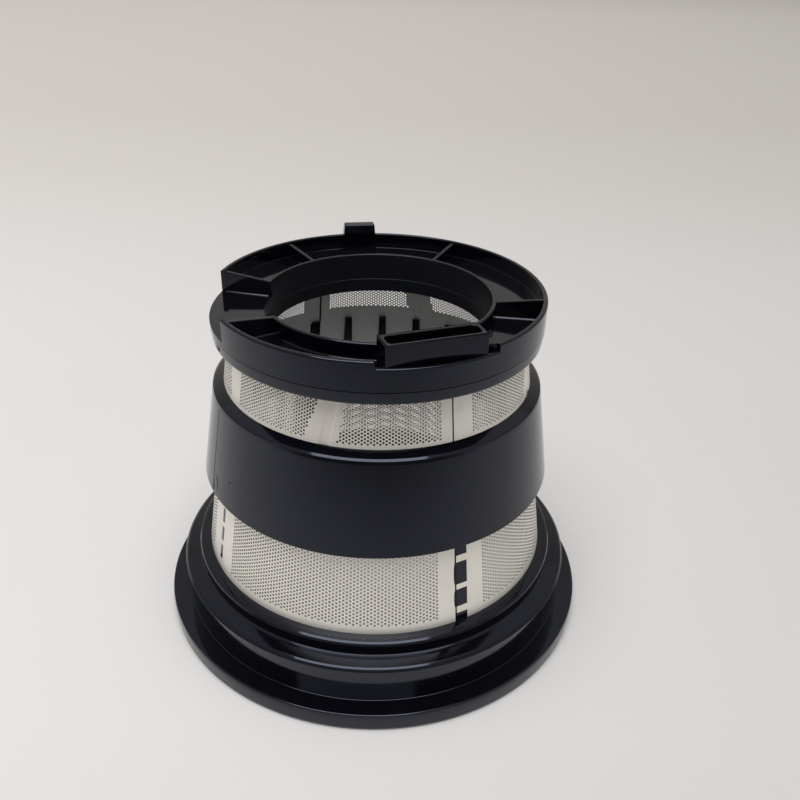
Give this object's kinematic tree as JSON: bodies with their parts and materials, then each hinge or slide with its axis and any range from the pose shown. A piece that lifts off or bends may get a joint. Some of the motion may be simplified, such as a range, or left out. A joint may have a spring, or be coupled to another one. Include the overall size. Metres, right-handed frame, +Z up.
{
  "type": "juicer mesh screen",
  "caption": "Conical juicer strainer of perforated steel sheet held in a black plastic frame with a wide mouth flange, a middle band and a keyed ring round the bore at its narrow end.",
  "frame": {"origin": "on the drum's axis in the plane of the mouth flange's standing face", "axes": "+Z up along the drum's axis from the wide mouth to the keyed narrow end; the chute faces forward, between -Y and +X, and the locating notch faces -X"},
  "size_m": [0.112, 0.112, 0.091],
  "materials": {
    "black_plastic": "glossy moulded",
    "perforated_steel": "satin rolled sheet"
  },
  "bodies": {
    "root": {"key_ring": "black_plastic", "drum_frame": "black_plastic", "screen_half_front": "perforated_steel", "screen_half_rear": "perforated_steel"}
  },
  "joints": []
}
